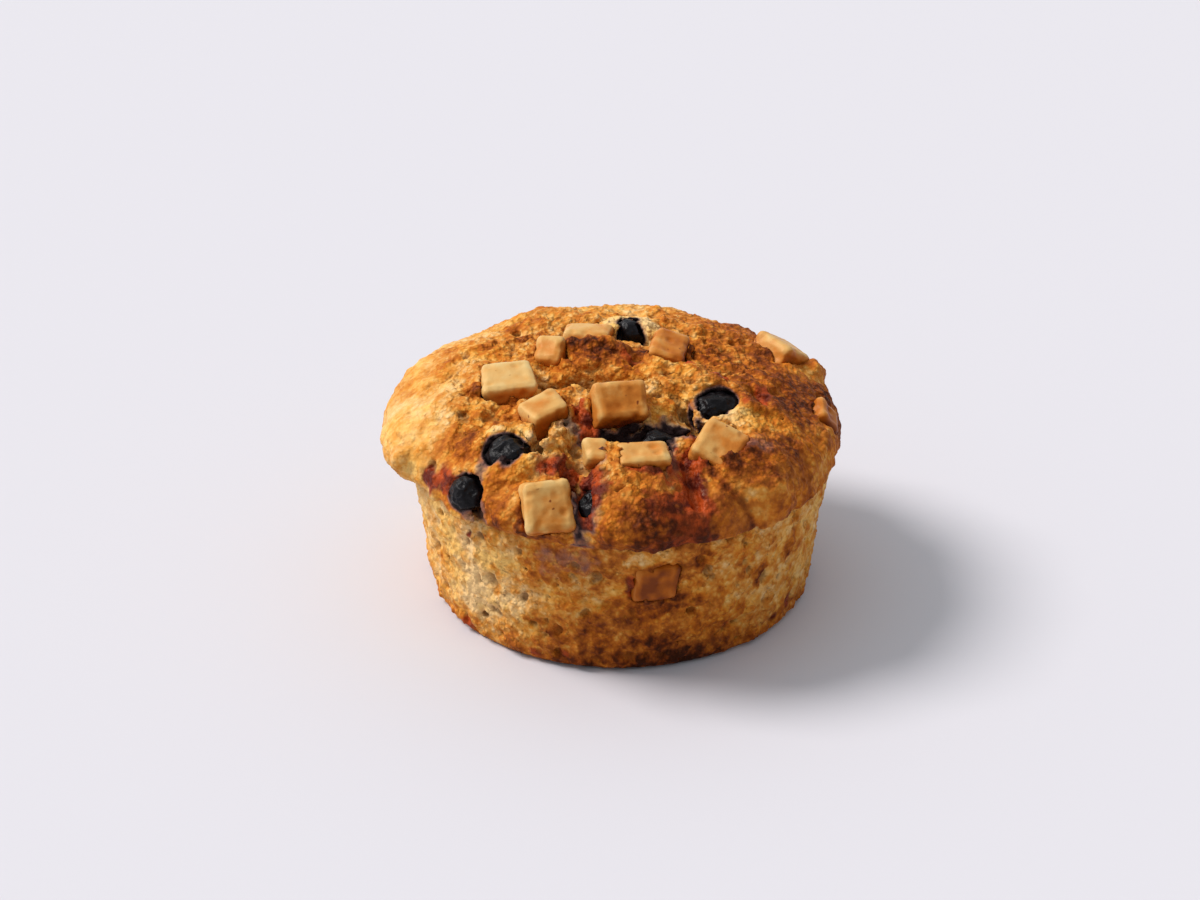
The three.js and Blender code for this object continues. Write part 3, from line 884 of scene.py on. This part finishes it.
def wall_roughness(points):
    """How rough the wall's colour is: least at the left."""
    return mix(*WALL_ROUGHNESS, smoothstep(wall_place(points)[:, 0], *SMOOTH_WALL_END))


def flap_highlight_and_shade(vertices):
    """The painted highlight along the flap's edge and the painted shade on the crust just before
    it.
    """
    offset = vertices[:, :2] - FLAP_MIDDLE
    from_middle = np.linalg.norm(offset, axis=1)
    distance = from_middle + wavy(vertices, FLAP_WAVER) - FLAP_RADIUS
    facing = smoothstep(offset @ FLAP_FACING / from_middle, *FLAP_LINE_TURN)
    light = line(distance, *FLAP_PAINTED_HIGHLIGHT) - line(distance, *FLAP_PAINTED_SHADE)
    return facing * light * (vertices[:, 2] > WALL_HEIGHT)


def line(distance, middle, width, strength):
    """A soft line along one distance."""
    return strength * np.exp(-(((distance - middle) / width) ** 2))


def make_crumb(crumb, material):
    vertices, faces = crumb.surface()
    piece = made_piece("crumb_baked", vertices, faces, material, crumb_paint(crumb, vertices))
    flatten_base(piece.data)
    stand_for(piece, "crumb")


# Toppings


# How far a topping's box of cells goes past it, and how near its relief is worked out.
TOPPING_MARGIN = 2
NEAR_TOPPING = 1.5

# A topping's mean surface is its form after so many passes.
TOPPING_MEAN_PASSES = 12

# The chunks' uneven sides and the chips out of them.
CHUNK_WAVES = [(0.14, 4.5, 11), (0.05, 1.1, 12)]
CHUNK_SINK = 0.04
CHIPS = (2.6, 15)
CHIP_LEVEL = 0.6
CHIP_DEPTH = 0.9

# The berries' creases: depth, size and seed of each kind, and how far the skin between stands out.
CREASES = [(0.75, 2.1, 21), (0.35, 1.05, 22)]
BETWEEN_CREASES = 0.42


def topping_form(name, cell, passes, crispness, relief):
    """A topping's mesh and how far it stands out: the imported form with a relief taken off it."""
    vertices, triangles = node_mesh(name)
    grid = box_round(vertices, TOPPING_MARGIN, cell)
    field = blurred(grid.distance(vertices, triangles, TOPPING_REACH), passes)
    field -= crispness * (blurred(field, TOPPING_MEAN_PASSES) - field)
    near = np.nonzero(np.abs(field) < NEAR_TOPPING)
    field[near] += relief(grid.points(near))
    vertices, faces = grid.surface(field)
    stands_out = grid.sample(blurred(field, TOPPING_MEAN_PASSES), vertices)
    return vertices, faces, stands_out


def chunk_relief(points):
    chips = np.maximum(grains(points, *CHIPS) - CHIP_LEVEL, 0)
    return wavy(points, CHUNK_WAVES) + CHIP_DEPTH * chips - CHUNK_SINK


def berry_relief(points):
    creases = sum(depth * np.abs(lumps(points, size, seed)) for depth, size, seed in CREASES)
    return creases - BETWEEN_CREASES


# How much the edges of a chunk are drawn out, and how often a chunk and a berry are smoothed.
CRISPNESS = 0.7
CHUNK_PASSES = 1
BERRY_PASSES = 2

# The side of a chunk that gets the most painted shade, the side turned from the key light, faces
# this way.
SHADED_SIDE = np.array([0.75, -0.45, -0.48])

# Where the edges, the parts near the crumb and the shaded side start, and what each adds to the
# toast; the shaded side's share is painted shade.
TOASTED_EDGE = (0.30, 0.60)
DARKER_NEAR_CRUMB = (0.1, 1.0)
SHADED_TURN = (-0.1, 0.9)
TOAST_AND_SHADE_ADDED = (0.16, 0.30, 0.32)
TOAST_WAVER = [(0.3, 1.6, 16)]

# Where the ridges between a berry's creases start.
BERRY_RIDGE = (0.0, 0.5)

# How toasted each chunk is, from pale to dark.
TOAST = {
    "chunk_1": 0.18,
    "chunk_2": 0.33,
    "chunk_3": 0.20,
    "chunk_4": 0.06,
    "chunk_5": 0.20,
    "chunk_6": 0.16,
    "chunk_7": 0.26,
    "chunk_8": 0.22,
    "chunk_9": 0.22,
    "chunk_10": 0.43,
    "chunk_11": 0.20,
    "chunk_12": 0.40,
    "chunk_13": 0.47,
    "chunk_14": 0.60,
    "chunk_15": 0.40,
    "chunk_16": 0.45,
}


def make_chunk(name, crumb, material):
    """A chunk, toasted most along its edges, darker near the crumb, and darker on one side as
    painted shade.
    """
    form = topping_form(name, CHUNK_CELL, CHUNK_PASSES, CRISPNESS, chunk_relief)
    vertices, faces, stands_out = form
    height = crumb.grid.sample(crumb.plain, vertices) + wavy(vertices, TOAST_WAVER)
    edge = smoothstep(stands_out, *TOASTED_EDGE)
    low = 1 - smoothstep(height, *DARKER_NEAR_CRUMB)
    turned = smoothstep(normals_of(vertices, faces) @ SHADED_SIDE, *SHADED_TURN)
    attributes = {"toast_and_shade": TOAST[name] + weighed(TOAST_AND_SHADE_ADDED, (edge, low, turned))}
    piece = made_piece(name + "_baked", vertices, faces, material, attributes)
    stand_for(piece, name)


def make_berry(name, material):
    form = topping_form(name, BERRY_CELL, BERRY_PASSES, 0, berry_relief)
    vertices, faces, stands_out = form
    attributes = {"ridge": smoothstep(stands_out, *BERRY_RIDGE)}
    piece = made_piece(name + "_baked", vertices, faces, material, attributes)
    stand_for(piece, name)


# Materials

NOISE_ROUGHNESS = 0.55

# Granules: how coarsely they are shifted, how softly they meet, and where each rises and tops out.
GRANULE_SHIFT = 0.35
GRANULE_SOFTNESS = 0.3
GRANULE_RISE = (0.75, 0.05)


class Nodes:
    """A material's node tree, with short ways to add and join nodes."""

    def __init__(self, name):
        self.material = bpy.data.materials.new(name)
        self.material.use_nodes = True
        self.tree = self.material.node_tree
        self.shader = self.tree.nodes["Principled BSDF"]

    def put(self, socket, value):
        if isinstance(value, bpy.types.NodeSocket):
            self.tree.links.new(value, socket)
        else:
            socket.default_value = value

    def attribute(self, name):
        node = self.tree.nodes.new("ShaderNodeAttribute")
        node.attribute_name = name
        return node.outputs["Fac"]

    def noise(self, size, detail=3.0):
        """Noise whose lumps are about size millimetres across, from 0 to 1."""
        place = self.tree.nodes.new("ShaderNodeTexCoord").outputs["Object"]
        node = self.tree.nodes.new("ShaderNodeTexNoise")
        self.put(node.inputs["Vector"], place)
        self.put(node.inputs["Scale"], 1 / (2 * size * MM))
        self.put(node.inputs["Detail"], detail)
        self.put(node.inputs["Roughness"], NOISE_ROUGHNESS)
        return node.outputs["Fac"]

    def granules(self, size, stray):
        """Round granules about size millimetres across, 1 at the top of each and 0 between."""
        place = self.tree.nodes.new("ShaderNodeTexCoord").outputs["Object"]
        shift = self.tree.nodes.new("ShaderNodeTexNoise")
        self.put(shift.inputs["Vector"], place)
        self.put(shift.inputs["Scale"], GRANULE_SHIFT / (size * MM))
        moved = self.tree.nodes.new("ShaderNodeVectorMath")
        moved.operation = "MULTIPLY_ADD"
        self.put(moved.inputs[0], shift.outputs["Color"])
        self.put(moved.inputs[1], (stray * size * MM,) * 3)
        self.put(moved.inputs[2], place)
        node = self.tree.nodes.new("ShaderNodeTexVoronoi")
        node.feature = "SMOOTH_F1"
        self.put(node.inputs["Vector"], moved.outputs["Vector"])
        self.put(node.inputs["Scale"], 1 / (size * MM))
        self.put(node.inputs["Smoothness"], GRANULE_SOFTNESS)
        return self.step(node.outputs["Distance"], *GRANULE_RISE)

    def math(self, operation, a, b=0.0, c=0.0):
        node = self.tree.nodes.new("ShaderNodeMath")
        node.operation = operation
        for socket, value in zip(node.inputs, (a, b, c)):
            self.put(socket, value)
        return node.outputs[0]

    def wobble(self, value, amount, size):
        """The value, with noise of the given size added that is amount high each way."""
        spread = self.math("MULTIPLY_ADD", self.noise(size), 4 * amount, -2 * amount)
        return self.math("ADD", value, spread)

    def step(self, value, low, high):
        """From 0 below low to 1 above high."""
        node = self.tree.nodes.new("ShaderNodeMapRange")
        node.interpolation_type = "SMOOTHSTEP"
        for socket, number in zip(node.inputs, (value, low, high, 0.0, 1.0)):
            self.put(socket, number)
        return node.outputs[0]

    def mix(self, share, a, b, blend="MIX"):
        """From colour a to colour b by share."""
        node = self.tree.nodes.new("ShaderNodeMix")
        node.data_type = "RGBA"
        node.blend_type = blend
        self.put(node.inputs["Factor"], share)
        for socket, value in zip((node.inputs[6], node.inputs[7]), (a, b)):
            self.put(socket, (*value, 1) if isinstance(value, tuple) else value)
        return node.outputs[2]

    def ramp(self, share, stops):
        """The colour at share between stops, each given by its place and colour."""
        node = self.tree.nodes.new("ShaderNodeValToRGB")
        self.put(node.inputs["Fac"], share)
        elements = node.color_ramp.elements
        while len(elements) < len(stops):
            elements.new(0.5)
        for element, (place, colour) in zip(elements, stops):
            element.position = place
            element.color = (*colour, 1)
        return node.outputs["Color"]

    def bump(self, height, distance):
        node = self.tree.nodes.new("ShaderNodeBump")
        self.put(node.inputs["Height"], height)
        node.inputs["Distance"].default_value = distance * MM
        node.inputs["Strength"].default_value = 1.0
        return node.outputs["Normal"]

    def finish(self, **inputs):
        """Sets the shader's inputs and gives the material."""
        for name, value in inputs.items():
            self.put(self.shader.inputs[name.replace("_", " ")], value)
        return self.material


# Colours are linear red, green and blue. The first list runs from pale crumb to dark toast.
BROWNING = [
    (0.0, (0.78, 0.525, 0.215)),
    (0.15, (0.72, 0.405, 0.125)),
    (0.30, (0.62, 0.28, 0.050)),
    (0.45, (0.52, 0.17, 0.018)),
    (0.60, (0.37, 0.102, 0.010)),
    (0.78, (0.20, 0.043, 0.005)),
    (0.90, (0.09, 0.016, 0.003)),
    (1.0, (0.040, 0.007, 0.002)),
]
CHOCOLATE = [
    (0.0, (0.66, 0.47, 0.20)),
    (0.30, (0.63, 0.345, 0.105)),
    (0.55, (0.55, 0.19, 0.030)),
    (0.80, (0.38, 0.09, 0.006)),
    (1.0, (0.18, 0.035, 0.005)),
]
JAM_COLOUR = (0.11, 0.012, 0.007)
BRIGHT_JAM = (0.40, 0.056, 0.009)
DEEP_JUICE = (0.018, 0.009, 0.012)
PALE_JUICE = (0.25, 0.145, 0.135)
HOLLOW_SHADE_COLOUR = (0.15, 0.038, 0.007)
YELLOWER = (1.03, 0.90, 0.62)
PINKER = (1.0, 0.97, 1.06)
WARM_SHEEN = (1.0, 0.72, 0.45, 1)
SPECK = (0.20, 0.045, 0.010)
SKIN = (0.004, 0.003, 0.004)
BLOOM = (0.015, 0.015, 0.023)
FLOOR_COLOUR = (0.616, 0.600, 0.640, 1)


# The crumb's granules by size and stray, how much of the fine ones shows, and the speckle's mean.
# The speckle makes the granules' tops paler and the gaps between them browner: partly crumb tone
# and partly painted shade in the gaps.
GRANULES = (1.35, 0.7)
FINE_GRANULES = (0.7, 0.6)
FINE_SPECKLE = 0.6
FINE_HEIGHT = 0.5
SPECKLE_MEAN = 0.75
SPECKLE_AND_GAP_SHADE = -0.24

# Wobbles are given by their height and size.
BROWNING_WOBBLES = [(0.10, 1.4), (0.08, 0.5)]
JUICE_WOBBLE = (0.14, 0.9)
JAM_WOBBLE = (0.16, 0.8)
TOAST_WOBBLES = [(0.12, 2.4), (0.05, 0.7)]

# Patches and pores are given by the size of their noise, and by where they start and are full.
TINT_SIZE = 2.8
TINT_STEP = (0.38, 0.62)
# Pores are dark specks of painted shade, for tiny pores that the mesh lacks.
PORE_SIZE = 0.55
PORE_STEP = (0.60, 0.70)
PORE_DEPTH = 0.8
PIT_SHADE = 0.65
BRIGHT_JAM_SIZE = 1.6
BRIGHT_JAM_STEP = (0.40, 0.60)
SPECK_SIZE = 0.8
SPECK_STEP = (0.71, 0.77)
BLOOM_SIZE = 1.0
BLOOM_STEP = (0.5, 0.7)

# From faint juice to deep juice, and how much of either juice or jam shows fully.
JUICE_STOPS = [(0.35, PALE_JUICE), (0.8, DEEP_JUICE)]
JUICE_STEP = (0.05, 0.75)
JAM_STEP = (0.05, 0.8)
WET_STEP = (0.5, 0.9)

# How dull the smoothest crumb is, what roughness adds, and what wet jam takes off.
DULLNESS = 0.5
ROUGH_DULLNESS = 0.25
WET_SHINE = -0.25

# The finest bumps: the size and height of the noise, and how high all of it stands.
GRIT_SIZE = 0.5
GRIT_HEIGHT = 0.7
FINE_DETAIL = 4
CRUMB_BUMP = 0.36
CHUNK_BUMP = 0.14
BERRY_BUMP = 0.3


def crumb_material():
    nodes = Nodes("baked crumb")
    rough = nodes.attribute("rough")
    granules = nodes.granules(*GRANULES)
    fine_granules = nodes.granules(*FINE_GRANULES)
    jam = nodes.wobble(nodes.attribute("jam"), *JAM_WOBBLE)
    wet = nodes.step(jam, *WET_STEP)
    dry = nodes.math("MULTIPLY_ADD", rough, ROUGH_DULLNESS, DULLNESS)
    height = nodes.math("MULTIPLY_ADD", fine_granules, FINE_HEIGHT, granules)
    height = nodes.math("MULTIPLY", height, rough)
    grit = nodes.noise(GRIT_SIZE, detail=FINE_DETAIL)
    height = nodes.math("MULTIPLY_ADD", grit, GRIT_HEIGHT, height)
    colour = browned_and_shaded_colour(nodes, rough, granules, fine_granules)
    colour = stained_colour(nodes, hollow_shaded_colour(nodes, colour, rough), jam)
    return nodes.finish(
        Base_Color=colour,
        Roughness=nodes.math("MULTIPLY_ADD", wet, WET_SHINE, dry),
        Specular_IOR_Level=0.2,
        Specular_Tint=WARM_SHEEN,
        Normal=nodes.bump(height, CRUMB_BUMP),
    )


def browned_and_shaded_colour(nodes, rough, granules, fine_granules):
    """The crumb's browning and painted shade, speckled by its granules with painted shade in the
    gaps between them, in yellower and pinker patches.
    """
    speckle = nodes.math("MULTIPLY_ADD", fine_granules, FINE_SPECKLE, granules)
    speckle = nodes.math("MULTIPLY", nodes.math("SUBTRACT", speckle, SPECKLE_MEAN), rough)
    browned_and_shaded = nodes.math("MULTIPLY_ADD", speckle, SPECKLE_AND_GAP_SHADE, nodes.attribute("browned_and_shaded"))
    for wobble in BROWNING_WOBBLES:
        browned_and_shaded = nodes.wobble(browned_and_shaded, *wobble)
    tint = nodes.mix(nodes.step(nodes.noise(TINT_SIZE), *TINT_STEP), YELLOWER, PINKER)
    return nodes.mix(1.0, nodes.ramp(browned_and_shaded, BROWNING), tint, blend="MULTIPLY")


def hollow_shaded_colour(nodes, colour, rough):
    """The colour darkened by painted shade in its hollows and in tiny pores."""
    pores = nodes.step(nodes.noise(PORE_SIZE, detail=2), *PORE_STEP)
    pores = nodes.math("MULTIPLY", nodes.math("MULTIPLY", pores, rough), PORE_DEPTH)
    hollow_shade = nodes.math("MAXIMUM", nodes.attribute("hollow_shade"), pores)
    return nodes.mix(nodes.math("MULTIPLY", hollow_shade, PIT_SHADE), colour, HOLLOW_SHADE_COLOUR)


def stained_colour(nodes, colour, jam):
    """The colour with juice soaked in and jam on it."""
    juice = nodes.wobble(nodes.attribute("juice"), *JUICE_WOBBLE)
    colour = nodes.mix(nodes.step(juice, *JUICE_STEP), colour, nodes.ramp(juice, JUICE_STOPS))
    bright = nodes.step(nodes.noise(BRIGHT_JAM_SIZE), *BRIGHT_JAM_STEP)
    red = nodes.mix(bright, JAM_COLOUR, BRIGHT_JAM)
    return nodes.mix(nodes.step(jam, *JAM_STEP), colour, red)


def chunk_material():
    nodes = Nodes("blond chocolate")
    toast_and_shade = nodes.attribute("toast_and_shade")
    for wobble in TOAST_WOBBLES:
        toast_and_shade = nodes.wobble(toast_and_shade, *wobble)
    specks = nodes.step(nodes.noise(SPECK_SIZE, detail=1), *SPECK_STEP)
    return nodes.finish(
        Base_Color=nodes.mix(specks, nodes.ramp(toast_and_shade, CHOCOLATE), SPECK),
        Roughness=0.42,
        Specular_IOR_Level=0.2,
        Specular_Tint=WARM_SHEEN,
        Normal=nodes.bump(nodes.noise(SPECK_SIZE, detail=FINE_DETAIL), CHUNK_BUMP),
    )


def berry_material():
    nodes = Nodes("baked blueberry")
    bloom = nodes.step(nodes.noise(BLOOM_SIZE), *BLOOM_STEP)
    bloom = nodes.math("MULTIPLY", nodes.attribute("ridge"), bloom)
    return nodes.finish(
        Base_Color=nodes.mix(bloom, SKIN, BLOOM),
        Roughness=0.34,
        Specular_IOR_Level=0.16,
        Normal=nodes.bump(nodes.noise(GRIT_SIZE, detail=FINE_DETAIL), BERRY_BUMP),
    )


def floor_material():
    return Nodes("pale floor").finish(Base_Color=FLOOR_COLOUR, Roughness=0.9)


# Stage, lights and camera

FLOOR_HALF = 4000


def make_floor():
    corners = [(-FLOOR_HALF, -FLOOR_HALF), (FLOOR_HALF, -FLOOR_HALF)]
    corners += [(FLOOR_HALF, FLOOR_HALF), (-FLOOR_HALF, FLOOR_HALF)]
    mesh = bpy.data.meshes.new("floor")
    mesh.from_pydata([(x * MM, y * MM, 0) for x, y in corners], [], [(0, 1, 2, 3)])
    mesh.materials.append(floor_material())
    floor = bpy.data.objects.new("floor", mesh)
    bpy.context.scene.collection.objects.link(floor)


# Angles are in degrees.
KEY = {"azimuth": 169, "elevation": 47, "strength": 3.20, "width": 24, "colour": (1, 0.958, 0.931)}
# The sky is brightest behind and above, and dimmest before the muffin.
FILL = {"colour": (1, 1.06, 1.10), "strength": 0.512, "brightest": (-0.14, 0.30, 0.22)}


def add_key(azimuth, elevation, strength, width, colour):
    light = bpy.data.lights.new("key", "SUN")
    light.energy = strength
    light.angle = math.radians(width)
    light.color = colour
    lamp = bpy.data.objects.new("key", light)
    lamp.rotation_euler = (math.radians(90 - elevation), 0, math.radians(azimuth + 90))
    bpy.context.scene.collection.objects.link(lamp)


def set_fill(colour, strength, brightest):
    world = bpy.data.worlds.new("studio")
    world.use_nodes = True
    tree = world.node_tree
    towards = tree.nodes.new("ShaderNodeVectorMath")
    towards.operation = "DOT_PRODUCT"
    tree.links.new(tree.nodes.new("ShaderNodeTexCoord").outputs["Generated"], towards.inputs[0])
    towards.inputs[1].default_value = brightest
    level = tree.nodes.new("ShaderNodeMath")
    level.operation = "MULTIPLY_ADD"
    tree.links.new(towards.outputs["Value"], level.inputs[0])
    level.inputs[1].default_value = strength
    level.inputs[2].default_value = strength
    background = tree.nodes["Background"]
    background.inputs["Color"].default_value = (*colour, 1)
    tree.links.new(level.outputs[0], background.inputs["Strength"])
    bpy.context.scene.world = world


CAMERA_AT = (-3.683, -579.704, 347.023)
CAMERA_ELEVATION = 29
FOCAL_LENGTH = 110
SENSOR_WIDTH = 36


def make_camera():
    lens = bpy.data.cameras.new("camera")
    lens.lens = FOCAL_LENGTH
    lens.sensor_width = SENSOR_WIDTH
    camera = bpy.data.objects.new("camera", lens)
    camera.location = [c * MM for c in CAMERA_AT]
    camera.rotation_euler = (math.radians(90 - CAMERA_ELEVATION), 0, 0)
    bpy.context.scene.collection.objects.link(camera)
    bpy.context.scene.camera = camera


def main():
    make_camera()
    make_floor()
    add_key(**KEY)
    set_fill(**FILL)
    bpy.context.scene.view_settings.view_transform = "Standard"
    crumb = Crumb()
    make_crumb(crumb, crumb_material())
    chocolate = chunk_material()
    for name in nodes_of("chunk_"):
        make_chunk(name, crumb, chocolate)
    skin = berry_material()
    for name in nodes_of("berry_"):
        make_berry(name, skin)


main()
